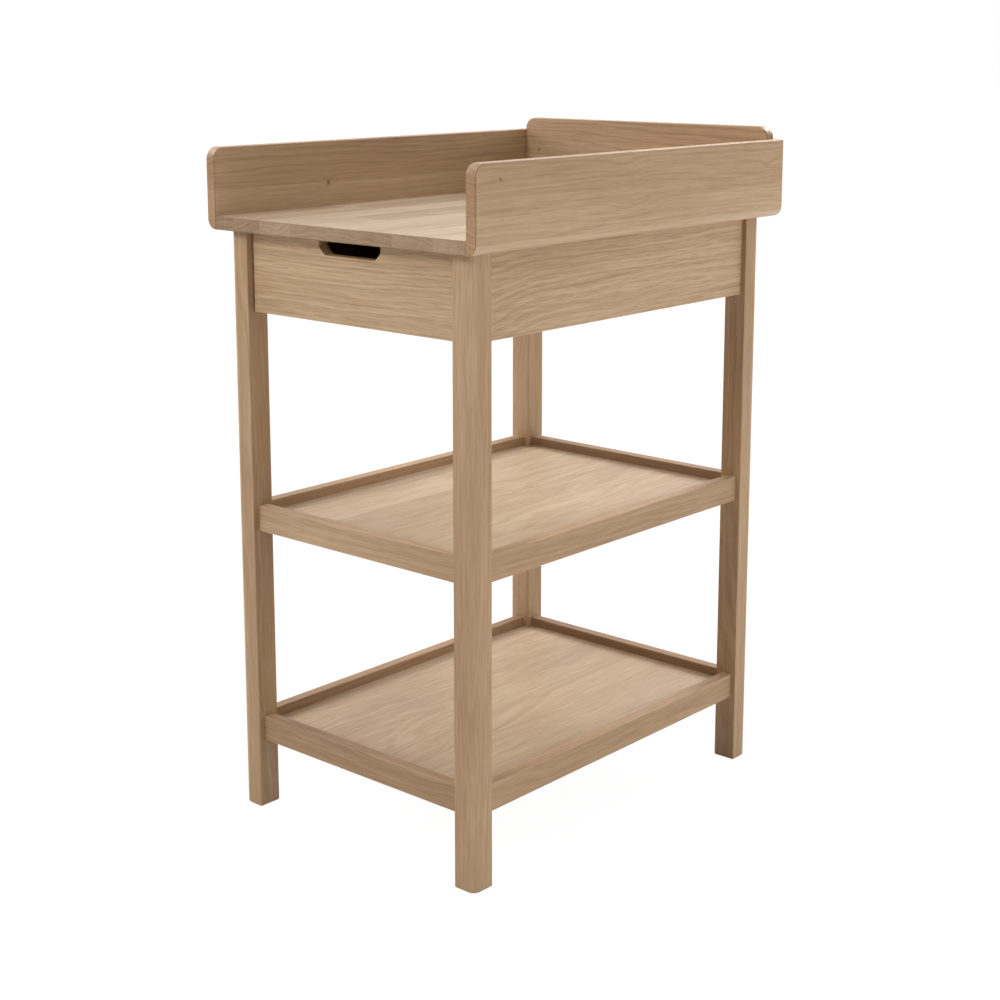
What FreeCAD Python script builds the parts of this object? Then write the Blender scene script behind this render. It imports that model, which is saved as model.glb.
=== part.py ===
import FreeCAD, Part
import os
import re

# A free-standing solid-wood changing dresser: four legs, a changing tray with three guard
# boards, one drawer with a grip notch, and two shelves sunk in frames of rails.
# Axes: +X to the right seen from the drawer's side, +Y to the back, +Z up, millimetres.
# Origin: on the floor, in the middle of the whole object's width and depth.

document = FreeCAD.newDocument("changing_dresser")

# Driving dimensions.
SIZES = {
    # changing tray
    "tray_width": 500,
    "tray_length": 706,
    "top_thickness": 20,
    "top_level": 925,
    "guard_thickness": 18,
    "guard_height": 121,
    "guard_tail": 2,
    "rear_guard_rise": 20,
    "guard_corner_radius": 18,
    "guard_edge_radius": 16,
    # legs and the frame they stand in
    "leg_size": 38,
    "leg_corner_radius": 14,
    "front_overhang": 20.5,
    "rear_overhang": 24.5,
    "side_overhang": 24,
    "front_setback": 11,
    "side_setback": 9,
    "board_thickness": 18,
    "apron_height": 122,
    # shelves
    "rail_height": 40,
    "upper_rail_level": 445,
    "lower_rail_level": 108,
    "shelf_lip": 15,
    "panel_thickness": 12,
    "groove_depth": 6,
    "panel_play": 0.5,
    # drawer
    "drawer_gap": 1.5,
    "drawer_top_gap": 3,
    "grip_width": 124,
    "grip_depth": 22,
    "grip_corner": 11,
    "grip_blend": 5,
    "box_thickness": 12,
    "box_height": 85,
    "box_rear_gap": 63,
    "box_lift": 8,
    "bottom_thickness": 6,
    "bottom_lift": 8,
    # drawer slides
    "slide_length": 500,
    "slide_travel": 365,
    "buffer_length": 10,
    "stop_play": 0.3,
    "tab_height": 12,
    "slide_height": 35,
    "slide_width": 12.7,
    "slide_inset": 2,
    "steel_thickness": 1.2,
    "channel_depth": 11,
    "runner_depth": 9.2,
    "lip_depth": 1.5,
    "ball_diameter": 3.9,
    "ball_play": 0.15,
    "ball_inset": 7,
    "ball_pitch": 20,
    "cage_thickness": 0.6,
    "cage_depth": 6.5,
    "spacer_height": 45,
    # fasteners
    "dowel_diameter": 8,
    "dowel_length": 30,
    "apron_dowel_pitch": 40,
    "rail_dowel_inset": 8,
    "thin_dowel_diameter": 6,
    "thin_dowel_length": 26,
    "thin_dowel_bite": 10,
    "guard_dowel_pitch": 145,
    "rear_dowel_pitch": 140,
    "screw_diameter": 3.5,
    "screw_head": 7,
    "screw_head_height": 2,
    "short_screw": 10,
    "bracket_screw": 14,
    "long_screw": 24,
    "screw_end_gap": 40,
    "bracket_size": 22,
    "bracket_width": 16,
    "bracket_thickness": 2,
    "bracket_pitch": 200,
    # finish of the wood
    "edge_ease": 1.5,
    "foot_chamfer": 2,
}

# Places and sizes that follow from the driving dimensions.
DERIVED = {
    # levels
    "underside": "top_level - top_thickness",
    "apron_level": "underside - apron_height",
    # depth, front to back
    "front_end": "-(tray_length + guard_thickness + guard_tail) / 2",
    "side_guard_length": "tray_length + guard_thickness + guard_tail",
    "rear_guard_place": "front_end + tray_length",
    "legs_front": "front_end + front_overhang",
    "legs_back": "front_end + side_guard_length - rear_overhang",
    "bay_front": "legs_front + leg_size",
    "bay_back": "legs_back - leg_size",
    "bay_depth": "legs_back - legs_front - 2 * leg_size",
    "front_rail_place": "legs_front + front_setback",
    "front_rail_inside": "front_rail_place + board_thickness",
    "rear_rail_place": "legs_back - front_setback - board_thickness",
    # width, from the middle
    "frame_width": "tray_width + 2 * guard_thickness - 2 * side_overhang",
    "leg_inside": "frame_width / 2 - leg_size",
    "side_rail_inside": "frame_width / 2 - side_setback - board_thickness",
    "side_rail_middle": "side_rail_inside + board_thickness / 2",
    # drawer
    "drawer_level": "apron_level + box_lift",
    "bottom_level": "drawer_level + bottom_lift",
    "box_outside": "leg_inside - slide_width",
    "box_inside": "box_outside - box_thickness",
    "box_back": "rear_rail_place - box_rear_gap",
    "box_length": "box_back - front_rail_inside",
    "drawer_back_place": "box_back - box_thickness",
    "front_height": "apron_height - drawer_top_gap",
    # slides
    "slide_level": "drawer_level + box_height / 2",
    "slide_front": "bay_front + slide_inset",
    "race": "slide_height / 2 - steel_thickness",
    "runner_half": "race - ball_diameter - 2 * ball_play",
    "ball_height": "race - ball_play - ball_diameter / 2",
    "runner_length": "slide_length - buffer_length",
    "cage_length": "runner_length - slide_travel - 2 * steel_thickness - 2 * stop_play",
    "cage_place": "slide_front + steel_thickness + stop_play + slide_travel / 2",
    "channel_web": "leg_inside - steel_thickness",
    "runner_mouth": "box_outside + runner_depth",
    "cage_web": "(channel_web + runner_mouth - cage_thickness) / 2",
    # fasteners
    "apron_middle": "apron_level + apron_height / 2",
    "guard_dowel_level": "(underside + top_level) / 2",
}


def make_sheet(name, cells):
    """A spreadsheet with one named cell to a row."""
    sheet = document.addObject("Spreadsheet::Sheet", name)
    for row, (alias, value) in enumerate(cells.items(), start=1):
        sheet.set("A" + str(row), alias)
        sheet.set("B" + str(row), str(value))
        sheet.setAlias("B" + str(row), alias)
    document.recompute()
    return sheet


def formula(text):
    """The text with each size's name led by the sheet that holds it."""

    def with_sheet(match):
        word = match.group()
        if word in SIZES:
            return "Sizes." + word
        if word in DERIVED:
            return "Derived." + word
        return word

    return re.sub(r"[a-z_]+", with_sheet, str(text))


make_sheet("Sizes", SIZES)
derived_sheet = make_sheet("Derived", {})
for derived_row, (derived_alias, derived_text) in enumerate(DERIVED.items(), start=1):
    cell = "B" + str(derived_row)
    derived_sheet.set("A" + str(derived_row), derived_alias)
    derived_sheet.set(cell, "=" + formula(derived_text))
    derived_sheet.setAlias(cell, derived_alias)
    document.recompute()

AXES = {"x": FreeCAD.Vector(1, 0, 0), "y": FreeCAD.Vector(0, 1, 0), "z": FreeCAD.Vector(0, 0, 1)}
# The turn that lays a cylinder's or a screw's own +Z along each direction.
TURNS = {
    "+x": FreeCAD.Rotation(AXES["y"], 90),
    "-x": FreeCAD.Rotation(AXES["y"], -90),
    "+y": FreeCAD.Rotation(AXES["x"], -90),
    "+z": FreeCAD.Rotation(),
}
# The left side's x places are the right side's with the sign turned.
SIDES = {"left": -1, "right": 1}
nodes = []


def bind(item, **formulas):
    """Ties each named property of an object to its formula."""
    for name, text in formulas.items():
        item.setExpression(name, formula(text))


def place(item, x=0, y=0, z=0):
    """Ties an object's corner or axis to a place."""
    item.setExpression("Placement.Base.x", formula(x))
    item.setExpression("Placement.Base.y", formula(y))
    item.setExpression("Placement.Base.z", formula(z))
    return item


def node(item, name):
    """Names a finished sub-part."""
    item.Label = name
    nodes.append(item)
    return item


def new_body(name):
    return document.addObject("PartDesign::Body", name + "_body")


def add_block(body, name, size, corner=(0, 0, 0), kind="Additive"):
    """A rectangular block added to, or cut from, a body."""
    block = body.newObject("PartDesign::" + kind + "Box", name)
    bind(block, Length=size[0], Width=size[1], Height=size[2])
    place(block, *corner)
    document.recompute()
    return block


def runs_along(edge, axis):
    """Whether an edge is straight and parallel to an axis."""
    if edge.Curve.TypeId != "Part::GeomLine":
        return False
    return abs(edge.Curve.Direction.dot(AXES[axis])) > 0.999


def dress(body, name, wanted, kind, **formulas):
    """Fillets or chamfers the edges of the body's tip that pass the test."""
    tip = body.Tip
    names = ["Edge" + str(i) for i, edge in enumerate(tip.Shape.Edges, start=1) if wanted(edge)]
    dressing = body.newObject("PartDesign::" + kind, name)
    dressing.Base = (tip, names)
    bind(dressing, **formulas)
    document.recompute()


def ease(body, name, wanted, radius="edge_ease"):
    """Rounds edges over."""
    dress(body, name, wanted, "Fillet", Radius=radius)


def on_face(axis, bounds):
    """A test for edges that lie in one of a board's two faces across an axis."""
    low, high = getattr(bounds, axis.upper() + "Min"), getattr(bounds, axis.upper() + "Max")

    def wanted(edge):
        box = edge.BoundBox
        first, last = getattr(box, axis.upper() + "Min"), getattr(box, axis.upper() + "Max")
        flat = last - first < 1e-4
        return flat and min(abs(first - low), abs(first - high)) < 1e-4

    return wanted


def board(name, size, corner, grain):
    """A plain board at a place, its long edges along the grain rounded over."""
    body = new_body(name)
    add_block(body, name + "_block", size)
    ease(body, name + "_easing", lambda edge: runs_along(edge, grain))
    return place(body, *corner)


def joined(name, items):
    """Several separate solids as one object."""
    group = document.addObject("Part::Compound", name)
    group.Links = items
    return group


def drilled(name, base, *tools):
    """A sub-part: its blank less the fasteners that pass into it."""
    cut = document.addObject("Part::Cut", name)
    cut.Base = base
    cut.Tool = tools[0] if len(tools) == 1 else joined(name + "_holes", list(tools))
    return node(cut, name)


def dowel(name, direction, x, y, z, diameter="dowel_diameter", length="dowel_length"):
    """A round dowel that starts at a place and runs along a direction."""
    pin = document.addObject("Part::Cylinder", name)
    bind(pin, Radius=diameter + " / 2", Height=length)
    pin.Placement = FreeCAD.Placement(FreeCAD.Vector(), TURNS[direction])
    return place(pin, x, y, z)


def screw(name, direction, x, y, z, length):
    """A countersunk wood screw with its head's face at a place, pointing along a direction."""
    head = document.addObject("Part::Cone", name + "_head")
    bind(head, Radius1="screw_head / 2", Radius2="screw_diameter / 2", Height="screw_head_height")
    shank = document.addObject("Part::Cylinder", name + "_shank")
    bind(shank, Radius="screw_diameter / 2", Height=length)
    whole = document.addObject("Part::Fuse", name)
    whole.Base = head
    whole.Tool = shank
    whole.Placement = FreeCAD.Placement(FreeCAD.Vector(), TURNS[direction])
    return place(whole, x, y, z)


# Dowels of the frame, half in the legs and half in what meets them.
SHELVES = {"upper": "upper_rail_level", "lower": "lower_rail_level"}


def rail_dowel_levels(shelf_level):
    return (shelf_level + " + rail_dowel_inset", shelf_level + " + rail_height - rail_dowel_inset")


def apron_dowel_levels():
    return ["apron_middle + " + str(step) + " * apron_dowel_pitch" for step in (-1, 0, 1)]


frame_levels = apron_dowel_levels()
for shelf_level in SHELVES.values():
    frame_levels.extend(rail_dowel_levels(shelf_level))

side_dowels = []
for side, sign in SIDES.items():
    for end in ("bay_front", "bay_back"):
        for number, level in enumerate(frame_levels):
            label = "_".join(("side_dowel", side, end, str(number)))
            across = str(sign) + " * side_rail_middle"
            side_dowels.append(dowel(label, "+y", across, end + " - dowel_length / 2", level))
side_frame_dowels = node(joined("side_frame_dowels", side_dowels), "side_frame_dowels")

cross_dowels = []
CROSS_LINES = {
    "front": "front_rail_place + board_thickness / 2",
    "rear": "rear_rail_place + board_thickness / 2",
}
for side, sign in SIDES.items():
    for line, depth in CROSS_LINES.items():
        # The front has a drawer where the rear has an apron.
        levels = frame_levels if line == "rear" else frame_levels[3:]
        for number, level in enumerate(levels):
            label = "_".join(("cross_dowel", side, line, str(number)))
            start = str(sign) + " * leg_inside - dowel_length / 2"
            cross_dowels.append(dowel(label, "+x", start, depth, level))
cross_frame_dowels = node(joined("cross_frame_dowels", cross_dowels), "cross_frame_dowels")


# Legs: square posts with one large round on the outside corner.
def make_leg(side, line):
    name = "_".join(("leg", line, side))
    body = new_body(name)
    add_block(body, name + "_post", ("leg_size", "leg_size", "underside"))
    outer_x = "XMax" if SIDES[side] > 0 else "XMin"
    outer_y = "YMin" if line == "front" else "YMax"
    bounds = body.Tip.Shape.BoundBox

    def is_outer(edge):
        centre = edge.BoundBox.Center
        at_x = abs(centre.x - getattr(bounds, outer_x)) < 1e-4
        at_y = abs(centre.y - getattr(bounds, outer_y)) < 1e-4
        return runs_along(edge, "z") and at_x and at_y

    def is_inner(edge):
        return runs_along(edge, "z") and on_face("x", bounds)(edge) and on_face("y", bounds)(edge)

    ease(body, name + "_round", is_outer, "leg_corner_radius")
    dress(body, name + "_foot", lambda edge: edge.BoundBox.ZMax < 1e-4, "Chamfer", Size="foot_chamfer")
    ease(body, name + "_easing", is_inner)
    x = "leg_inside" if SIDES[side] > 0 else "-frame_width / 2"
    y = "legs_front" if line == "front" else "bay_back"
    place(body, x, y)
    return drilled(name, body, side_frame_dowels, cross_frame_dowels)


for leg_line in ("front", "rear"):
    for leg_side in SIDES:
        make_leg(leg_side, leg_line)

# Screws of the slides' spacers, and the steel angles that hold the top.
slide_screws = {"spacer": [], "channel": [], "runner": []}
SCREW_HEADS = {
    # the plane each screw's head is flush with, measured from the middle, and its own length
    "spacer": ("leg_inside", "long_screw"),
    "channel": ("leg_inside - steel_thickness", "short_screw"),
    "runner": ("box_outside + steel_thickness", "short_screw"),
}
SCREW_PLACES = {
    # the first screw's and the last screw's distance from the front of the slide
    "spacer": "screw_end_gap / 2",
    "channel": "screw_end_gap",
    "runner": "screw_end_gap",
}
for kind, (plane, length) in SCREW_HEADS.items():
    first = "slide_front + " + SCREW_PLACES[kind]
    last = "slide_front + slide_length - " + SCREW_PLACES[kind]
    middle = "slide_front + slide_length / 2 + " + SCREW_PLACES[kind]
    for side, sign in SIDES.items():
        outward = "+x" if sign > 0 else "-x"
        inward = "-x" if sign > 0 else "+x"
        for number, along in enumerate((first, middle, last)):
            label = "_".join((kind, "screw", side, str(number)))
            direction = inward if kind == "runner" else outward
            across = str(sign) + " * (" + plane + ")"
            slide_screws[kind].append(screw(label, direction, across, along, "slide_level", length))
spacer_screws = node(joined("spacer_screws", slide_screws["spacer"]), "spacer_screws")
channel_screws = node(joined("channel_screws", slide_screws["channel"]), "channel_screws")
runner_screws = node(joined("runner_screws", slide_screws["runner"]), "runner_screws")


def make_bracket(name, along, across, turn):
    """A steel angle: one flange under the top, one against an apron, with its two screws."""
    body = new_body(name)
    add_block(body, name + "_flange", ("bracket_size", "bracket_width", "bracket_thickness"),
              ("-bracket_size", "-bracket_width / 2", "-bracket_thickness"))
    add_block(body, name + "_back", ("bracket_thickness", "bracket_width", "bracket_size"),
              ("-bracket_thickness", "-bracket_width / 2", "-bracket_size"))
    up = screw(name + "_top_screw", "+z", "-bracket_size / 2 - bracket_thickness", 0,
               "-bracket_thickness", "bracket_screw")
    out = screw(name + "_apron_screw", "+x", "-bracket_thickness", 0,
                "-bracket_size / 2 - bracket_thickness", "bracket_screw")
    cut = document.addObject("Part::Cut", name)
    cut.Base = body
    cut.Tool = joined(name + "_holes", [up, out])
    pair = joined(name + "_screws", [up, out])
    for item in (cut, pair):
        item.Placement = FreeCAD.Placement(FreeCAD.Vector(), FreeCAD.Rotation(AXES["z"], turn))
        place(item, across, along, "underside")
    return cut, pair


brackets = []
for side, sign in SIDES.items():
    for step in (-1, 1):
        label = "_".join(("bracket", side, "front" if step < 0 else "back"))
        along = "(bay_front + bay_back) / 2 + " + str(step) + " * bracket_pitch"
        across = str(sign) + " * side_rail_inside"
        brackets.append(make_bracket(label, along, across, 0 if sign > 0 else 180))
    label = "_".join(("bracket_rear", side))
    across = str(sign) + " * bracket_pitch / 2"
    brackets.append(make_bracket(label, "rear_rail_place", across, 90))
node(joined("top_brackets", [bracket for bracket, pair in brackets]), "top_brackets")
bracket_screws = node(joined("bracket_screws", [pair for bracket, pair in brackets]), "bracket_screws")

# Aprons, under the top on three sides.
for side, sign in SIDES.items():
    name = "side_apron_" + side
    x = "side_rail_inside" if sign > 0 else "-side_rail_inside - board_thickness"
    blank = board(name, ("board_thickness", "bay_depth", "apron_height"),
                  (x, "bay_front", "apron_level"), "y")
    drilled(name, blank, side_frame_dowels, spacer_screws, bracket_screws)
rear_blank = board("rear_apron", ("2 * leg_inside", "board_thickness", "apron_height"),
                   ("-leg_inside", "rear_rail_place", "apron_level"), "x")
drilled("rear_apron", rear_blank, cross_frame_dowels, bracket_screws)


# Shelves: four rails with a groove on the inside, and a panel let into the groove.
def make_rail(name, size, corner, grain, groove_size, groove_corner, dowels):
    body = new_body(name)
    add_block(body, name + "_block", size)
    ease(body, name + "_easing", lambda edge: runs_along(edge, grain))
    add_block(body, name + "_groove", groove_size, groove_corner, "Subtractive")
    place(body, *corner)
    return drilled(name, body, dowels)


def make_shelf(shelf, level):
    groove_level = "rail_height - shelf_lip - panel_thickness"
    for side, sign in SIDES.items():
        x = "side_rail_inside" if sign > 0 else "-side_rail_inside - board_thickness"
        groove_x = 0 if sign > 0 else "board_thickness - groove_depth"
        make_rail("_".join((shelf, "shelf", side, "rail")),
                  ("board_thickness", "bay_depth", "rail_height"), (x, "bay_front", level), "y",
                  ("groove_depth", "bay_depth", "panel_thickness"), (groove_x, 0, groove_level),
                  side_frame_dowels)
    for line, y in (("front", "front_rail_place"), ("rear", "rear_rail_place")):
        groove_y = "board_thickness - groove_depth" if line == "front" else 0
        make_rail("_".join((shelf, "shelf", line, "rail")),
                  ("2 * leg_inside", "board_thickness", "rail_height"), ("-leg_inside", y, level), "x",
                  ("2 * leg_inside", "groove_depth", "panel_thickness"), (0, groove_y, groove_level),
                  cross_frame_dowels)
    # The panel reaches into the grooves and is notched round the legs.
    name = shelf + "_shelf_panel"
    body = new_body(name)
    reach = "(groove_depth - panel_play)"
    half = "(side_rail_inside + " + reach + ")"
    near = "(front_rail_inside - " + reach + ")"
    far = "(rear_rail_place + " + reach + ")"
    add_block(body, name + "_block", ("2 * " + half, far + " - " + near, "panel_thickness"),
              ("-" + half, near, 0))
    notch_width = half + " - leg_inside + panel_play"
    for side, sign in SIDES.items():
        x = "leg_inside - panel_play" if sign > 0 else "-" + half
        add_block(body, "_".join((name, "front_notch", side)),
                  (notch_width, "bay_front + panel_play - " + near, "panel_thickness"), (x, near, 0),
                  "Subtractive")
        add_block(body, "_".join((name, "rear_notch", side)),
                  (notch_width, far + " - bay_back + panel_play", "panel_thickness"),
                  (x, "bay_back - panel_play", 0), "Subtractive")
    place(body, 0, 0, level + " + " + groove_level)
    node(body, name)


for shelf_name, shelf_level in SHELVES.items():
    make_shelf(shelf_name, shelf_level)

# Thin dowels that hold the guards to the top and to each other.
guard_pins = []
for side, sign in SIDES.items():
    bite = "thin_dowel_length - thin_dowel_bite" if sign > 0 else "thin_dowel_bite"
    start = str(sign) + " * tray_width / 2 - (" + bite + ")"
    for step in (-2, -1, 0, 1, 2):
        label = "_".join(("guard_pin", side, str(step + 2)))
        along = str(step) + " * guard_dowel_pitch"
        guard_pins.append(dowel(label, "+x", start, along, "guard_dowel_level",
                                "thin_dowel_diameter", "thin_dowel_length"))
    for step in (1, 2):
        label = "_".join(("corner_pin", side, str(step)))
        level = "top_level + " + str(step) + " * guard_height / 3"
        guard_pins.append(dowel(label, "+x", start, "rear_guard_place + guard_thickness / 2", level,
                                "thin_dowel_diameter", "thin_dowel_length"))
for step in (-1, 0, 1):
    label = "rear_pin_" + str(step + 1)
    start = "rear_guard_place - thin_dowel_length + thin_dowel_bite"
    guard_pins.append(dowel(label, "+y", str(step) + " * rear_dowel_pitch", start, "guard_dowel_level",
                            "thin_dowel_diameter", "thin_dowel_length"))
guard_dowels = node(joined("guard_dowels", guard_pins), "guard_dowels")

# The changing top, glued up from staves that run front to back, its front end eased all round.
top_body = new_body("changing_top")
add_block(top_body, "changing_top_block", ("tray_width", "tray_length", "top_thickness"))
top_front = top_body.Tip.Shape.BoundBox.YMin
ease(top_body, "changing_top_easing", lambda edge: edge.BoundBox.YMax - top_front < 1e-4)
place(top_body, "-tray_width / 2", "front_end", "underside")
drilled("changing_top", top_body, guard_dowels, bracket_screws)


# Guards: boards with rounded upper corners. The side ones also have a large round along the
# lower outer edge, down to the top's underside. The rear one is taller.
def make_side_guard(side, sign):
    name = "guard_" + side
    body = new_body(name)
    add_block(body, name + "_block", ("guard_thickness", "side_guard_length", "guard_height"))
    bounds = body.Tip.Shape.BoundBox
    outside = bounds.XMax if sign > 0 else bounds.XMin

    def is_front_corner(edge):
        box = edge.BoundBox
        at_front_top = box.YMax - bounds.YMin < 1e-4 and bounds.ZMax - box.ZMin < 1e-4
        return runs_along(edge, "x") and at_front_top

    def is_lower_edge(edge):
        box = edge.BoundBox
        return runs_along(edge, "y") and box.ZMax < 1e-4 and abs(box.Center.x - outside) < 1e-4

    def is_arris(edge):
        """The faces' outlines, less the lower edges."""
        is_low = runs_along(edge, "y") and bounds.ZMax - edge.BoundBox.ZMax > 1e-4
        return on_face("x", bounds)(edge) and not is_low

    ease(body, name + "_corner", is_front_corner, "guard_corner_radius")
    ease(body, name + "_lower_edge", is_lower_edge, "guard_edge_radius")
    ease(body, name + "_easing", is_arris)
    x = "tray_width / 2" if sign > 0 else "-tray_width / 2 - guard_thickness"
    place(body, x, "front_end", "underside")
    drilled(name, body, guard_dowels)


for side, sign in SIDES.items():
    make_side_guard(side, sign)

rear_body = new_body("guard_rear")
add_block(rear_body, "guard_rear_block",
          ("tray_width", "guard_thickness", "guard_height + rear_guard_rise"))
rear_bounds = rear_body.Tip.Shape.BoundBox
ease(rear_body, "guard_rear_corners",
     lambda edge: runs_along(edge, "y") and rear_bounds.ZMax - edge.BoundBox.ZMin < 1e-4,
     "guard_corner_radius")
ease(rear_body, "guard_rear_easing", on_face("y", rear_bounds))
place(rear_body, "-tray_width / 2", "rear_guard_place", "underside")
drilled("guard_rear", rear_body, guard_dowels)

# Dowels of the drawer box.
drawer_pins = []
for side, sign in SIDES.items():
    across = str(sign) + " * (box_outside - box_thickness / 2)"
    back_start = "box_outside - thin_dowel_length" if sign > 0 else "-box_outside"
    for step in (1, 3):
        level = "drawer_level + " + str(step) + " * box_height / 4"
        label = "_".join(("drawer_pin", side, str(step)))
        drawer_pins.append(dowel(label + "_front", "+y", across, "front_rail_inside - thin_dowel_bite",
                                 level, "thin_dowel_diameter", "thin_dowel_length"))
        drawer_pins.append(dowel(label + "_back", "+x", back_start, "drawer_back_place + box_thickness / 2",
                                 level, "thin_dowel_diameter", "thin_dowel_length"))
drawer_dowels = node(joined("drawer_dowels", drawer_pins), "drawer_dowels")

# Drawer front, inset between the legs, with a grip notch in its top edge.
front_body = new_body("drawer_front")
add_block(front_body, "drawer_front_block",
          ("2 * (leg_inside - drawer_gap)", "board_thickness", "front_height"))
front_bounds = front_body.Tip.Shape.BoundBox
ease(front_body, "drawer_front_easing", on_face("y", front_bounds))
grip_x = "leg_inside - drawer_gap - grip_width / 2"
add_block(front_body, "drawer_front_grip", ("grip_width", "board_thickness", "grip_depth"),
          (grip_x, 0, "front_height - grip_depth"), "Subtractive")
grip_floor = front_bounds.ZMax - SIZES["grip_depth"]


def is_grip_corner(edge):
    return runs_along(edge, "y") and abs(edge.BoundBox.ZMin - grip_floor) < 1e-4


def is_grip_bend(edge):
    box = edge.BoundBox
    inside = front_bounds.XMin + 1 < box.Center.x < front_bounds.XMax - 1
    return runs_along(edge, "y") and inside and box.ZMax < front_bounds.ZMax - SIZES["edge_ease"]


dress(front_body, "drawer_front_grip_chamfer", is_grip_corner, "Chamfer", Size="grip_corner")
ease(front_body, "drawer_front_grip_bend", is_grip_bend, "grip_blend")
add_block(front_body, "drawer_front_groove",
          ("2 * (box_inside + groove_depth)", "groove_depth", "bottom_thickness"),
          ("leg_inside - drawer_gap - box_inside - groove_depth", "board_thickness - groove_depth",
           "box_lift + bottom_lift"), "Subtractive")
place(front_body, "-leg_inside + drawer_gap", "front_rail_place", "apron_level")
drilled("drawer_front", front_body, drawer_dowels)

# Drawer box.
for side, sign in SIDES.items():
    name = "drawer_side_" + side
    side_body = new_body(name)
    add_block(side_body, name + "_block", ("box_thickness", "box_length", "box_height"))
    ease(side_body, name + "_easing", lambda edge: runs_along(edge, "y"), "edge_ease / 2")
    side_x = "box_inside" if sign > 0 else "-box_outside"
    groove_x = 0 if sign > 0 else "box_thickness - groove_depth"
    add_block(side_body, name + "_groove",
              ("groove_depth", "box_length - box_thickness + groove_depth", "bottom_thickness"),
              (groove_x, 0, "bottom_lift"), "Subtractive")
    place(side_body, side_x, "front_rail_inside", "drawer_level")
    drilled(name, side_body, drawer_dowels, runner_screws)

back_body = new_body("drawer_back")
add_block(back_body, "drawer_back_block", ("2 * box_inside", "box_thickness", "box_height"))
ease(back_body, "drawer_back_easing", lambda edge: runs_along(edge, "x"), "edge_ease / 2")
add_block(back_body, "drawer_back_groove", ("2 * box_inside", "groove_depth", "bottom_thickness"),
          (0, 0, "bottom_lift"), "Subtractive")
place(back_body, "-box_inside", "drawer_back_place", "drawer_level")
drilled("drawer_back", back_body, drawer_dowels)

bottom_reach = "(groove_depth - panel_play)"
bottom_body = new_body("drawer_bottom")
add_block(bottom_body, "drawer_bottom_block",
          ("2 * (box_inside + " + bottom_reach + ")",
           "drawer_back_place - front_rail_inside + 2 * " + bottom_reach, "bottom_thickness"))
place(bottom_body, "-box_inside - " + bottom_reach, "front_rail_inside - " + bottom_reach, "bottom_level")
node(bottom_body, "drawer_bottom")


# Ball slides, one a side: a channel on a spacer, a runner on the drawer, and a caged row of
# balls above and below between them. Each body is built for the right side about its own
# level and turned half round for the left. A row has as many balls as its cage has room for.
balls_in_row = int(derived_sheet.cage_length / SIZES["ball_pitch"])


def slide_part(name, blocks, y, side):
    """A bent steel section: blocks given by the distance from the middle and above the level."""
    body = new_body(name)
    for number, (size, corner) in enumerate(blocks):
        add_block(body, name + "_wall" + str(number), size, corner)
    if SIDES[side] < 0:
        body.Placement = FreeCAD.Placement(FreeCAD.Vector(), FreeCAD.Rotation(AXES["y"], 180))
    return place(body, 0, y, "slide_level")


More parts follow.
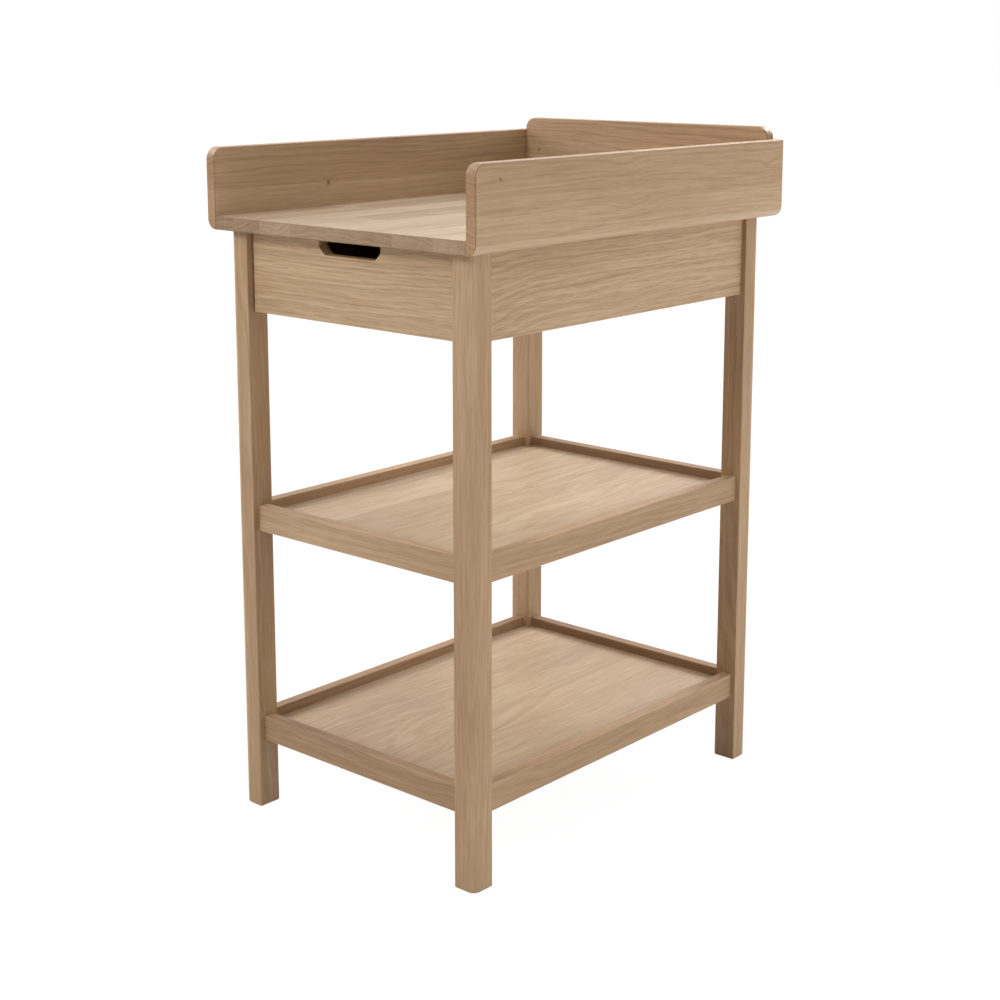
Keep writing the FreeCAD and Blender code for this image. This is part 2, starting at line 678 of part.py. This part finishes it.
for side, sign in SIDES.items():
    name = "slide_spacer_" + side
    spacer_x = "leg_inside" if sign > 0 else "-side_rail_inside"
    spacer = board(name, ("side_rail_inside - leg_inside", "bay_depth", "spacer_height"),
                   (spacer_x, "bay_front", "slide_level - spacer_height / 2"), "y")
    drilled(name, spacer, spacer_screws, channel_screws)

    # The channel's lips keep the balls in, and a tab at its front end stops the cage.
    name = "slide_channel_" + side
    channel_mouth = "leg_inside - channel_depth"
    tab_reach = "(channel_web - runner_mouth - stop_play)"
    channel_blocks = [
        (("steel_thickness", "slide_length", "slide_height"), ("channel_web", 0, "-slide_height / 2")),
        ((tab_reach, "steel_thickness", "tab_height"),
         ("channel_web - " + tab_reach, 0, "-tab_height / 2")),
    ]
    for flange, lip in (("race", "race - lip_depth"), ("-slide_height / 2", "-race")):
        channel_blocks.append((("channel_depth", "slide_length", "steel_thickness"),
                               (channel_mouth, 0, flange)))
        channel_blocks.append((("steel_thickness", "slide_length", "lip_depth"),
                               (channel_mouth, 0, lip)))
    channel = slide_part(name, channel_blocks, "slide_front", side)
    drilled(name, channel, channel_screws)

    # The runner opens to the channel, and an ear at its back end meets the cage when fully out.
    name = "slide_runner_" + side
    ear_reach = "(cage_web + cage_thickness - box_outside)"
    runner_blocks = [
        (("steel_thickness", "runner_length", "2 * runner_half"), ("box_outside", 0, "-runner_half")),
        ((ear_reach, "steel_thickness", "tab_height"),
         ("box_outside", "runner_length - steel_thickness", "-tab_height / 2")),
    ]
    upper = ("runner_half - steel_thickness", "runner_half")
    lower = ("-runner_half", "-runner_half - lip_depth")
    for flange, lip in (upper, lower):
        runner_blocks.append((("runner_depth", "runner_length", "steel_thickness"),
                              ("box_outside", 0, flange)))
        runner_blocks.append((("steel_thickness", "runner_length", "lip_depth"),
                              ("runner_mouth - steel_thickness", 0, lip)))
    runner = slide_part(name, runner_blocks, "slide_front", side)
    drilled(name, runner, runner_screws)

    name = "ball_cage_" + side
    cage_half = "(ball_height + cage_thickness / 2)"
    cage_blocks = [
        (("cage_thickness", "cage_length", "2 * " + cage_half), ("cage_web", 0, "-" + cage_half))
    ]
    for low in ("ball_height - cage_thickness / 2", "-" + cage_half):
        cage_blocks.append((("cage_depth", "cage_length", "cage_thickness"),
                            ("cage_web + cage_thickness - cage_depth", 0, low)))
    cage = slide_part(name, cage_blocks, "cage_place", side)
    ball_seats = []
    balls = []
    for row in (-1, 1):
        for step in range(balls_in_row):
            label = "_".join(("ball", side, "low" if row < 0 else "high", str(step)))
            spot = (
                str(sign) + " * (leg_inside - ball_inset)",
                "cage_place + cage_length / 2 + ball_pitch * " + str(step + 0.5 - balls_in_row / 2),
                "slide_level + " + str(row) + " * ball_height",
            )
            ball = document.addObject("Part::Sphere", label)
            bind(ball, Radius="ball_diameter / 2")
            balls.append(place(ball, *spot))
            seat = document.addObject("Part::Sphere", label + "_seat")
            bind(seat, Radius="ball_diameter / 2 + ball_play")
            ball_seats.append(place(seat, *spot))
    drilled(name, cage, *ball_seats)
    node(joined("slide_balls_" + side, balls), "slide_balls_" + side)

# Rubber buffers pushed into the back ends of the channels, where the runners come to rest.
buffers = []
for side, sign in SIDES.items():
    buffer_width = "(channel_depth - 2 * steel_thickness)"
    block = document.addObject("Part::Box", "slide_buffer_" + side)
    bind(block, Length=buffer_width, Width="buffer_length", Height="2 * race")
    buffer_x = "channel_web - " + buffer_width if sign > 0 else "-channel_web"
    buffers.append(place(block, buffer_x, "slide_front + runner_length", "slide_level - race"))
node(joined("slide_buffers", buffers), "slide_buffers")

document.recompute()

failed = [item.Name for item in document.Objects if {"Invalid", "Error"} & set(item.State)]
if failed:
    raise RuntimeError("objects that did not compute: " + ", ".join(failed))
for item in nodes:
    if item.Shape.isNull() or not item.Shape.isValid():
        raise RuntimeError("bad shape: " + item.Label)

os.makedirs("parts", exist_ok=True)
for item in nodes:
    item.Shape.exportStep(os.path.join("parts", item.Label + ".step"))
print(len(nodes), "sub-parts")
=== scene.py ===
"""Looks of the changing dresser: oiled oak, pale drawer wood, plated steel, a white studio, a camera.

Lengths are in metres, in the part's own frame.
"""

import math
import random
from collections import namedtuple

import bpy
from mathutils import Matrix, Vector

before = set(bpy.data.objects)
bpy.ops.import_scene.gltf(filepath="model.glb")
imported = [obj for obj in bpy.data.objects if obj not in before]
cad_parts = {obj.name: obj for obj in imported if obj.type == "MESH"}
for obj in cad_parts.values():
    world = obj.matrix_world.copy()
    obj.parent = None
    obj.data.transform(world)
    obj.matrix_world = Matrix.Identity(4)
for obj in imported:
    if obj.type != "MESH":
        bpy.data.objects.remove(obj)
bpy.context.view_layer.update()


def linear(red, green, blue):
    """A display colour as the linear colour that a shader takes."""

    def one(level):
        return level / 12.92 if level <= 0.04045 else ((level + 0.055) / 1.055) ** 2.4

    return (one(red), one(green), one(blue), 1.0)


class Graph:
    """The shader nodes of one material or world, laid out in code."""

    def __init__(self, owner):
        owner.use_nodes = True
        self.tree = owner.node_tree
        self.tree.nodes.clear()

    def add(self, kind, inputs=None, **settings):
        """A node with its settings, and inputs that are numbers or other nodes' outputs."""
        node = self.tree.nodes.new("ShaderNode" + kind)
        for name, value in settings.items():
            setattr(node, name, value)
        for name, value in (inputs or {}).items():
            if isinstance(value, bpy.types.NodeSocket):
                self.tree.links.new(value, node.inputs[name])
            else:
                node.inputs[name].default_value = value
        return node

    def math(self, operation, *values):
        return self.add("Math", dict(enumerate(values)), operation=operation).outputs[0]

    def ramp(self, value, low, high, to_low=0.0, to_high=1.0):
        """The value carried smoothly from one range to another."""
        inputs = {"Value": value, "From Min": low, "From Max": high, "To Min": to_low, "To Max": to_high}
        return self.add("MapRange", inputs, interpolation_type="SMOOTHSTEP").outputs[0]

    def blend(self, factor, first, second, kind="MIX"):
        node = self.add("Mix", data_type="RGBA", blend_type=kind, clamp_factor=True)
        sockets = [s for s in node.inputs if s.name in ("Factor", "A", "B") and s.enabled]
        for socket, value in zip(sockets, (factor, first, second)):
            if isinstance(value, bpy.types.NodeSocket):
                self.tree.links.new(value, socket)
            else:
                socket.default_value = value
        return next(s for s in node.outputs if s.enabled)

    def tint(self, factor, colour, by):
        """The colour multiplied by another one, as far as the factor says."""
        return self.blend(factor, colour, self.blend(1.0, colour, by, "MULTIPLY"))

    def stretched(self, places, scales, shift):
        """A place with each of its coordinates scaled, and the first one shifted."""
        x, y, z = (self.math("MULTIPLY", value, scale) for value, scale in zip(places, scales))
        return self.add("CombineXYZ", {"X": self.math("ADD", x, shift), "Y": y, "Z": z}).outputs[0]

    def noise(self, place, detail, roughness=0.5, scale=1.0):
        inputs = {"Vector": place, "Scale": scale, "Detail": detail, "Roughness": roughness}
        return self.add("TexNoise", inputs).outputs[0]

    def layer(self, kind, places, shift):
        """One layer of a wood's figure."""
        return self.noise(self.stretched(places, kind.cells, shift), kind.detail, kind.roughness)

    def near(self, place, spot, reach, strength):
        """A smooth bump round a spot."""
        away = self.add("VectorMath", {0: place, 1: spot}, operation="DISTANCE")
        return self.ramp(away.outputs["Value"], 0.0, reach, strength, 0.0)

    def finish(self, shader, kind="Material"):
        output = self.add("Output" + kind)
        self.tree.links.new(shader.outputs[0], output.inputs["Surface"])


# Tones of the woods, dark to light, and of their open pores.
OAK = {
    "dark": linear(0.555, 0.425, 0.305),
    "middle": linear(0.675, 0.55, 0.415),
    "light": linear(0.76, 0.645, 0.51),
    "pore": linear(0.45, 0.335, 0.23),
}
# A greyer copy of the oak for the top and the shelf panels: painted sheen, for the paler, greyer look
# that glare gives their upward faces.
SHEEN_GREYED_OAK = {
    "dark": linear(0.55, 0.45, 0.345),
    "middle": linear(0.65, 0.56, 0.45),
    "light": linear(0.73, 0.65, 0.55),
    "pore": linear(0.46, 0.36, 0.27),
}
PALE = {
    "dark": linear(0.70, 0.60, 0.46),
    "middle": linear(0.78, 0.69, 0.55),
    "light": linear(0.85, 0.77, 0.64),
    "pore": linear(0.62, 0.51, 0.38),
}
# A knot's heart, what cut ends are multiplied by, what their arrises are multiplied by as painted shade,
# and the painted highlight laid along arrises.
KNOT = linear(0.36, 0.25, 0.17)
END_GRAIN = linear(0.90, 0.86, 0.82)
PAINTED_END_ARRIS_SHADE = linear(0.80, 0.76, 0.72)
PAINTED_ARRIS_HIGHLIGHT = linear(0.84, 0.76, 0.66)
# The shades from 0 to 1 at which a wood has its dark, middle and light tones.
DARK_SHADE = 0.10
MIDDLE_SHADE = 0.5
LIGHT_SHADE = 0.90

# Layers of a wood's figure: cells to a metre along the grain, across it and into the board, and
# the noise's detail and roughness.
Layer = namedtuple("Layer", "cells detail roughness", defaults=(2.0, 0.5))
BROAD_WAVE = Layer((1.9, 11.0, 11.0))
FINE_WAVE = Layer((12.0, 60.0, 60.0))
STREAK = Layer((2.2, 60.0, 60.0), detail=3.0, roughness=0.6)
FIBRE = Layer((12.0, 330.0, 330.0), detail=3.0, roughness=0.65)
PORE = Layer((30.0, 720.0, 720.0), detail=1.5)
CLOUD = Layer((1.7, 8.0, 8.0), detail=1.0)
# How much of the shade the layers make up. The rings show more on a cut end.
RING_SHARE = 0.15
END_RING_SHARE = 0.12
STREAK_SHARE = 0.34
FIBRE_SHARE = 0.62
CLOUD_SHARE = 0.55
PORE_SHARE = 0.17
# How much likelier pores are in the rings' dark parts, and how far they sink below the fibres.
PORE_IN_RING = -0.07
PORE_RELIEF = -0.6
# Rings: how wide they are, and how far the waves push them about.
RING_WIDTH = 0.0036
BROAD_SWAY = 0.045
FINE_SWAY = 0.006
# The pith: how far it lies behind the face and, at random, to the side; and how much further
# sideways and deeper a stave's own numbers put it.
PITH_DEPTH = 0.06
PITH_SIDES = (-0.09, 0.02)
STAVE_SIDE = 0.12
STAVE_DEPTH = 0.09
# How far along a noise a stave and a piece are moved, so that no two show the same figure.
STAVE_SHIFT = 5.0
PIECE_SHIFT = 9
# A knot's dark heart fades out at this many times its radius, and covers this much in its middle.
KNOT_REACH = 1.7
KNOT_STRENGTH = 0.9
# The painted highlight along arrises is at least this share of its full strength, where its patches are
# faintest.
LEAST_ARRIS_HIGHLIGHT = 0.3

# Staves side by side: their width, where a row starts, their length (None for whole ones) and how
# uneven the rows' widths are.
Staves = namedtuple("Staves", "width start length unevenness", defaults=(0.0, None, 0.0))
# How far butt joints slip between rows, in staves, and what keeps the rows' random numbers apart.
JOINT_SLIP = 7.3
ROW_STEP = 3.7
NUMBER_RANGE = 90


def stave_numbers(graph, along, across, staves, chance):
    """Three random numbers for the stave that a point is in, or for the whole piece."""
    if staves is None:
        return [chance.random() for _ in range(3)]
    row = graph.math("DIVIDE", graph.math("SUBTRACT", across, staves.start), staves.width)
    rows = graph.add("TexVoronoi", {"W": row, "Scale": 1.0, "Randomness": staves.unevenness},
                     voronoi_dimensions="1D")
    number = rows.outputs["W"]
    if staves.length is not None:
        # Staves butt end to end, at another place in each row.
        slip = graph.math("MULTIPLY", number, JOINT_SLIP)
        piece = graph.math("ADD", graph.math("DIVIDE", along, staves.length), slip)
        number = graph.math("ADD", graph.math("FLOOR", piece), graph.math("MULTIPLY", number, ROW_STEP))
    number = graph.math("ADD", number, chance.random() * NUMBER_RANGE)
    colour = graph.add("TexWhiteNoise", {"W": number}, noise_dimensions="1D").outputs["Color"]
    parts = graph.add("SeparateColor", {"Color": colour})
    return [parts.outputs[i] for i in range(3)]


def growth_rings(graph, point, places, numbers, shift, slope, swirls, chance):
    """Rings round a pith that lies behind the face and leans away from it; swirls push them aside."""
    along, across, inward = places
    side = graph.math("ADD", across, chance.uniform(*PITH_SIDES))
    side = graph.math("MULTIPLY_ADD", numbers[0], STAVE_SIDE, side)
    depth = graph.math("MULTIPLY_ADD", along, slope, inward)
    depth = graph.math("MULTIPLY_ADD", numbers[1], STAVE_DEPTH, depth)
    depth = graph.math("ADD", depth, PITH_DEPTH)
    squares = graph.math("ADD", graph.math("MULTIPLY", side, side), graph.math("MULTIPLY", depth, depth))
    radius = graph.math("SQRT", squares)
    for spot, reach, push in swirls:
        radius = graph.math("ADD", radius, graph.near(point, spot, reach, push))
    for wave, sway in ((BROAD_WAVE, BROAD_SWAY), (FINE_WAVE, FINE_SWAY)):
        radius = graph.math("MULTIPLY_ADD", graph.layer(wave, places, shift), sway, radius)
    count = graph.math("DIVIDE", radius, RING_WIDTH)
    rings = graph.add("TexNoise", {"W": count, "Scale": 1.0, "Detail": 2.0}, noise_dimensions="1D")
    return graph.ramp(rings.outputs[0], low=0.28, high=0.72)


def add_up(graph, shade, layers):
    """A shade with layers added, each by its share and about its own middle."""
    for layer, share in layers:
        shade = graph.math("MULTIPLY_ADD", graph.math("SUBTRACT", layer, 0.5), share, shade)
    return shade


def toned(graph, shade, tones):
    """A shade from 0 to 1 as a wood's colour."""
    colours = graph.add("ValToRGB", {"Fac": shade})
    stops = colours.color_ramp.elements
    stops[0].position = DARK_SHADE
    stops[0].color = tones["dark"]
    stops[1].position = LIGHT_SHADE
    stops[1].color = tones["light"]
    stops.new(MIDDLE_SHADE).color = tones["middle"]
    return colours.outputs["Color"]


def end_grain_and_painted_arrises(graph, colour, end, facing, cloud, arris_highlight):
    """Cut ends darker, and their arrises darker still as painted shade; arrises along the grain lighter
    as a painted highlight, broken into patches.
    """
    along, across, inward = facing
    colour = graph.tint(end, colour, END_GRAIN)
    # Painted shade: the rounded arrises of cut ends are darkened.
    end_arris_shade_mask = graph.ramp(graph.math("MULTIPLY", along, inward), low=0.08, high=0.40)
    colour = graph.tint(end_arris_shade_mask, colour, PAINTED_END_ARRIS_SHADE)
    # Painted highlight: arrises along the grain are lightened, in patches set by the clouds.
    arris = graph.ramp(graph.math("MULTIPLY", across, inward), low=0.10, high=0.45)
    patches = graph.ramp(cloud, low=0.35, high=0.65, to_low=LEAST_ARRIS_HIGHLIGHT * arris_highlight, to_high=arris_highlight)
    return graph.blend(graph.math("MULTIPLY", arris, patches), colour, PAINTED_ARRIS_HIGHLIGHT)


def wood(name, grain, across, tones=OAK, staves=None, spread=0.34, lower_tone=0.0, slope=0.03, tone=0.0,
         contrast=1.0, seed=0, knots=(), swirls=(), arris_highlight=0.35):
    """Wood as a solid: rings round a pith, fibres, pores and staves, cut by the faces of the piece.

    spread is how much its staves differ, lower_tone the shade added below a glue line, slope how
    much the pith leans, and worn how strong the painted highlight along its arrises is.
    """
    material = bpy.data.materials.new(name)
    graph = Graph(material)
    chance = random.Random(seed)
    coordinates = graph.add("TexCoord")
    point = coordinates.outputs["Object"]
    depth_axis = next(letter for letter in "xyz" if letter not in (grain, across))
    axes = [letter.upper() for letter in (grain, across, depth_axis)]
    parts = graph.add("SeparateXYZ", {"Vector": point})
    places = [parts.outputs[letter] for letter in axes]
    normal = graph.add("SeparateXYZ", {"Vector": coordinates.outputs["Normal"]})
    facing = [graph.math("ABSOLUTE", normal.outputs[letter]) for letter in axes]
    end = graph.ramp(facing[0], low=0.75, high=0.95)
    numbers = stave_numbers(graph, places[0], places[1], staves, chance)
    shift = graph.math("MULTIPLY_ADD", numbers[0], STAVE_SHIFT, chance.uniform(-PIECE_SHIFT, PIECE_SHIFT))

    # Rings, long streaks, fibres, clouds, and the short dark dashes of open pores.
    ring = growth_rings(graph, point, places, numbers, shift, slope, swirls, chance)
    streak = graph.layer(STREAK, places, shift)
    fibre = graph.layer(FIBRE, places, shift)
    dashes = graph.layer(PORE, places, shift)
    pore = graph.ramp(graph.math("MULTIPLY_ADD", ring, PORE_IN_RING, dashes), low=0.50, high=0.64)
    cloud = graph.layer(CLOUD, places, shift)

    ring_share = graph.math("MULTIPLY_ADD", end, END_RING_SHARE, RING_SHARE * contrast)
    shade = add_up(graph, MIDDLE_SHADE + tone, (
        (ring, ring_share),
        (streak, STREAK_SHARE * contrast),
        (fibre, FIBRE_SHARE * contrast),
        (cloud, CLOUD_SHARE),
        (numbers[2], spread),
    ))
    if lower_tone:
        # Two boards with one glue line, the lower one lighter or darker.
        glue_line = staves.start + staves.width / 2
        below = graph.math("LESS_THAN", places[1], glue_line)
        shade = graph.math("MULTIPLY_ADD", below, lower_tone, shade)
    colour = toned(graph, shade, tones)
    colour = graph.blend(graph.math("MULTIPLY", pore, PORE_SHARE * contrast), colour, tones["pore"])
    for spot, size in knots:
        colour = graph.blend(graph.near(point, spot, size * KNOT_REACH, KNOT_STRENGTH), colour, KNOT)
    colour = end_grain_and_painted_arrises(graph, colour, end, facing, cloud, arris_highlight)

    roughness = graph.ramp(fibre, low=0.3, high=0.7, to_low=0.60, to_high=0.48)
    height = graph.math("MULTIPLY_ADD", pore, PORE_RELIEF, fibre)
    bump = graph.add("Bump", {"Height": height, "Strength": 0.15, "Distance": 0.0006})
    graph.finish(graph.add("BsdfPrincipled", {
        "Base Color": colour,
        "Roughness": roughness,
        "Specular IOR Level": 0.40,
        "Normal": bump.outputs[0],
    }))
    return material


# Plated steel: how bright its dull parts are, and its least and most roughness, as shares of what
# each metal has.
METAL_DULL = 0.78
SMOOTHEST = 0.8
ROUGHEST = 1.3


def metal(name, colour, rough, streaks):
    """Plated steel: fine streaks along the piece, faint clouds and a grainy shine."""
    material = bpy.data.materials.new(name)
    graph = Graph(material)
    point = graph.add("TexCoord").outputs["Object"]
    stretched = graph.add("Mapping", {"Vector": point, "Scale": streaks})
    streak = graph.noise(stretched.outputs[0], detail=3.0, roughness=0.6)
    spot = graph.noise(point, detail=3.0, scale=90.0)
    dull = tuple(level * METAL_DULL for level in colour[:3]) + (1.0,)
    tint = graph.blend(graph.ramp(graph.math("ADD", streak, spot), low=0.7, high=1.3), dull, colour)
    roughness = graph.ramp(streak, low=0.3, high=0.7, to_low=rough * SMOOTHEST, to_high=rough * ROUGHEST)
    bump = graph.add("Bump", {"Height": streak, "Strength": 0.12, "Distance": 0.0002})
    graph.finish(graph.add("BsdfPrincipled", {
        "Base Color": tint,
        "Metallic": 1.0,
        "Roughness": roughness,
        "Normal": bump.outputs[0],
    }))
    return material


def rubber(name):
    """Dull dark rubber with a fine grain."""
    material = bpy.data.materials.new(name)
    graph = Graph(material)
    point = graph.add("TexCoord").outputs["Object"]
    grain = graph.noise(point, detail=4.0, scale=900.0)
    colour = graph.blend(grain, linear(0.13, 0.13, 0.14), linear(0.22, 0.22, 0.23))
    roughness = graph.ramp(grain, low=0.3, high=0.7, to_low=0.75, to_high=0.9)
    bump = graph.add("Bump", {"Height": grain, "Strength": 0.3, "Distance": 0.0002})
    graph.finish(graph.add("BsdfPrincipled", {
        "Base Color": colour,
        "Roughness": roughness,
        "Normal": bump.outputs[0],
    }))
    return material


def dress(node, material):
    """Puts a material in every slot of a CAD node."""
    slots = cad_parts[node].material_slots
    if not slots:
        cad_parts[node].data.materials.append(material)
    for slot in slots:
        slot.material = material


# Knots, as their place and radius, and swirls, as their place, reach and push.
LEFT_GUARD_KNOT = (-0.250, -0.134, 0.961)
LEFT_GUARD_KNOTS = [(LEFT_GUARD_KNOT, 0.0035)]
LEFT_GUARD_SWIRLS = [(LEFT_GUARD_KNOT, 0.03, 0.008)]
RIGHT_GUARD_KNOTS = [((0.268, -0.315, 1.003), 0.0022)]
RIGHT_GUARD_SWIRLS = [((0.268, -0.047, 0.978), 0.06, 0.012), ((0.268, 0.316, 0.975), 0.035, 0.010)]
REAR_GUARD_KNOTS = [((-0.220, 0.343, 0.991), 0.0025)]
RIGHT_APRON_SWIRLS = [((0.238, -0.34, 0.79), 0.17, 0.030)]

# Wooden pieces: the way the grain runs, the way that lies across it in the face, and what sets
# the piece apart.
LEG = dict(grain="z", arris_highlight=0.08)
GUARD = dict(across="z", spread=0.1)
# The shelf panels, like the top, take the greyer oak as painted sheen.
PANEL = dict(grain="y", across="x", tones=SHEEN_GREYED_OAK, spread=0.12)
BOARDS = {
    "leg_front_left": dict(LEG, across="x", seed=3, tone=0.02),
    "leg_front_right": dict(LEG, across="y", seed=14, tone=0.02),
    "leg_rear_left": dict(LEG, across="x", seed=21, tone=-0.07),
    "leg_rear_right": dict(LEG, across="x", seed=8, tone=0.10),
    "side_apron_left": dict(grain="y", across="z", seed=31),
    "side_apron_right": dict(grain="y", across="z", seed=5, tone=0.03, contrast=1.5, slope=0.02,
                             swirls=RIGHT_APRON_SWIRLS),
    "rear_apron": dict(grain="x", across="z", seed=17),
    "changing_top": dict(grain="y", across="x", seed=2, tones=SHEEN_GREYED_OAK, spread=0.5, tone=-0.02,
                         staves=Staves(0.062, length=0.45, unevenness=0.7)),
    "guard_left": dict(GUARD, grain="y", seed=44, tone=-0.07, lower_tone=0.05,
                       staves=Staves(0.075, start=0.925),
                       knots=LEFT_GUARD_KNOTS, swirls=LEFT_GUARD_SWIRLS),
    "guard_right": dict(GUARD, grain="y", seed=12, tone=0.05, lower_tone=0.12,
                        staves=Staves(0.075, start=0.920),
                        knots=RIGHT_GUARD_KNOTS, swirls=RIGHT_GUARD_SWIRLS),
    "guard_rear": dict(GUARD, grain="x", seed=9, tone=-0.03, lower_tone=0.10, contrast=1.25,
                       staves=Staves(0.075, start=0.945), knots=REAR_GUARD_KNOTS),
    "upper_shelf_panel": dict(PANEL, seed=6, tone=0.04,
                              staves=Staves(0.075, start=0.01, unevenness=0.7)),
    "lower_shelf_panel": dict(PANEL, seed=27, tone=-0.02,
                              staves=Staves(0.075, start=0.03, unevenness=0.7)),
    "drawer_front": dict(grain="x", across="z", seed=11, slope=0.05, tone=0.06, contrast=1.5),
    "drawer_side_left": dict(grain="y", across="z", seed=51, tones=PALE),
    "drawer_side_right": dict(grain="y", across="z", seed=52, tones=PALE),
    "drawer_back": dict(grain="x", across="z", seed=53, tones=PALE),
    "drawer_bottom": dict(grain="x", across="y", seed=54, tones=PALE,
                          staves=Staves(0.12, unevenness=0.5)),
    "slide_spacer_left": dict(grain="y", across="z", seed=55, tones=PALE),
    "slide_spacer_right": dict(grain="y", across="z", seed=56, tones=PALE),
    "side_frame_dowels": dict(grain="y", across="x", seed=57, tones=PALE),
    "cross_frame_dowels": dict(grain="x", across="y", seed=58, tones=PALE),
    "guard_dowels": dict(grain="x", across="y", seed=59, tones=PALE),
    "drawer_dowels": dict(grain="y", across="x", seed=60, tones=PALE),
}
# Rails: the way the grain runs, and how light or dark the upper and the lower board are painted. The rear
# and left rails are made darker as painted shade, for the shade that falls inside the shelves.
RAILS = {
    "front": ("x", {"upper": 0.04, "lower": -0.26}),
    "rear": ("x", {"upper": -0.27, "lower": -0.30}),
    "left": ("y", {"upper": -0.32, "lower": -0.17}),
    "right": ("y", {"upper": -0.03, "lower": 0.10}),
}
for shelf, first_seed in (("upper", 70), ("lower", 80)):
    for number, (part, (grain, shades)) in enumerate(RAILS.items()):
        rail = "_".join((shelf, "shelf", part, "rail"))
        BOARDS[rail] = dict(grain=grain, across="z", tone=shades[shelf], seed=first_seed + number)
for board, look in BOARDS.items():
    dress(board, wood(board + "_wood", **look))

ZINC = metal("zinc_plate", linear(0.80, 0.81, 0.82), rough=0.30, streaks=(700.0, 9.0, 700.0))
BALL_STEEL = metal("ball_steel", linear(0.88, 0.88, 0.89), rough=0.12, streaks=(300.0, 300.0, 300.0))
SCREW_STEEL = metal("screw_steel", linear(0.74, 0.74, 0.72), rough=0.34, streaks=(500.0, 500.0, 500.0))
for side in ("left", "right"):
    for part in ("slide_channel_", "slide_runner_", "ball_cage_"):
        dress(part + side, ZINC)
    dress("slide_balls_" + side, BALL_STEEL)
dress("top_brackets", ZINC)
for screws in ("bracket_screws", "spacer_screws", "channel_screws", "runner_screws"):
    dress(screws, SCREW_STEEL)
dress("slide_buffers", rubber("buffer_rubber"))

# Studio: a white floor that keeps a faint shadow, soft lamps, and white all round.
WHITE = (1.0, 1.0, 1.0, 1.0)
FLOOR_HALF = 30.0
FLOOR_GREY = (0.80, 0.80, 0.80, 1.0)
FLOOR_GLOW = 1.05
# Near the object a little of the floor's own light and shadow shows; further off it is plain white.
FADE_START = 0.8
FADE_END = 2.2
NEAR_WHITENESS = 0.93


def sees_background(graph):
    """1 for the rays that look at the scene or mirror it, 0 for those that only light it."""
    path = graph.add("LightPath")
    mirror = graph.math("MAXIMUM", path.outputs["Is Glossy Ray"], path.outputs["Is Transmission Ray"])
    return graph.math("MAXIMUM", path.outputs["Is Camera Ray"], mirror)


def make_floor_material():
    material = bpy.data.materials.new("studio_floor")
    graph = Graph(material)
    lit = graph.add("BsdfDiffuse", {"Color": FLOOR_GREY})
    white = graph.add("Emission", {"Color": WHITE, "Strength": FLOOR_GLOW})
    point = graph.add("TexCoord").outputs["Object"]
    away = graph.add("VectorMath", {0: point}, operation="LENGTH")
    whiteness = graph.ramp(away.outputs["Value"], FADE_START, FADE_END, NEAR_WHITENESS, 1.0)
    share = graph.math("MULTIPLY", sees_background(graph), whiteness)
    graph.finish(graph.add("MixShader", {0: share, 1: lit.outputs[0], 2: white.outputs[0]}))
    return material


floor_mesh = bpy.data.meshes.new("studio_floor")
corners = [(x * FLOOR_HALF, y * FLOOR_HALF, 0.0) for x, y in ((-1, -1), (1, -1), (1, 1), (-1, 1))]
floor_mesh.from_pydata(corners, [], [(0, 1, 2, 3)])
floor = bpy.data.objects.new("studio_floor", floor_mesh)
bpy.context.scene.collection.objects.link(floor)
floor_mesh.materials.append(make_floor_material())

world = bpy.data.worlds.new("studio")
bpy.context.scene.world = world
world_graph = Graph(world)
world_strength = sees_background(world_graph)
world_graph.finish(world_graph.add("Background", {"Color": WHITE, "Strength": world_strength}), "World")

TARGET = Vector((0.0, 0.0, 0.6))


def lamp(name, azimuth, elevation, distance, size, power):
    """A square soft lamp aimed at the dresser; azimuth 0 stands in front, 90 on the right."""
    data = bpy.data.lights.new(name, "AREA")
    data.size = size
    data.energy = power
    turn, rise = math.radians(azimuth), math.radians(elevation)
    away = Vector((math.sin(turn) * math.cos(rise), -math.cos(turn) * math.cos(rise), math.sin(rise)))
    light = bpy.data.objects.new(name, data)
    light.location = TARGET + away * distance
    light.rotation_euler = away.to_track_quat("Z", "Y").to_euler()
    bpy.context.scene.collection.objects.link(light)


lamp("front", azimuth=-8, elevation=30, distance=4.0, size=1.0, power=67)
lamp("front_high", azimuth=-8, elevation=50, distance=4.0, size=1.5, power=20)
lamp("left", azimuth=-85, elevation=25, distance=4.0, size=1.5, power=155)
lamp("right", azimuth=90, elevation=8, distance=4.5, size=2.5, power=74)
lamp("right_high", azimuth=90, elevation=55, distance=4.5, size=2.0, power=23)
lamp("right_rear", azimuth=125, elevation=35, distance=4.5, size=2.0, power=16)
lamp("rear", azimuth=180, elevation=30, distance=4.5, size=2.0, power=210)
lamp("rear_left", azimuth=215, elevation=50, distance=4.5, size=2.0, power=31)

# Camera, at the photograph's viewing angle: its place, how far it looks down and turns left in
# radians, its focal length as a share of the sensor's width, and how far the picture is shifted.
CAMERA_PLACE = (1.82075, -2.08252, 1.18747)
CAMERA_DIP = 0.18917
CAMERA_TURN = 0.72099
FOCAL = 1.8002
PICTURE_SHIFT = -0.12
SENSOR_MM = 36.0
FARTHEST = 100.0
camera_data = bpy.data.cameras.new("camera")
camera_data.sensor_width = SENSOR_MM
camera_data.lens = FOCAL * SENSOR_MM
camera_data.shift_y = PICTURE_SHIFT
camera_data.clip_end = FARTHEST
camera = bpy.data.objects.new("camera", camera_data)
camera.location = CAMERA_PLACE
camera.rotation_euler = (math.pi / 2 - CAMERA_DIP, 0.0, CAMERA_TURN)
bpy.context.scene.collection.objects.link(camera)
bpy.context.scene.camera = camera
bpy.context.scene.view_settings.view_transform = "Standard"
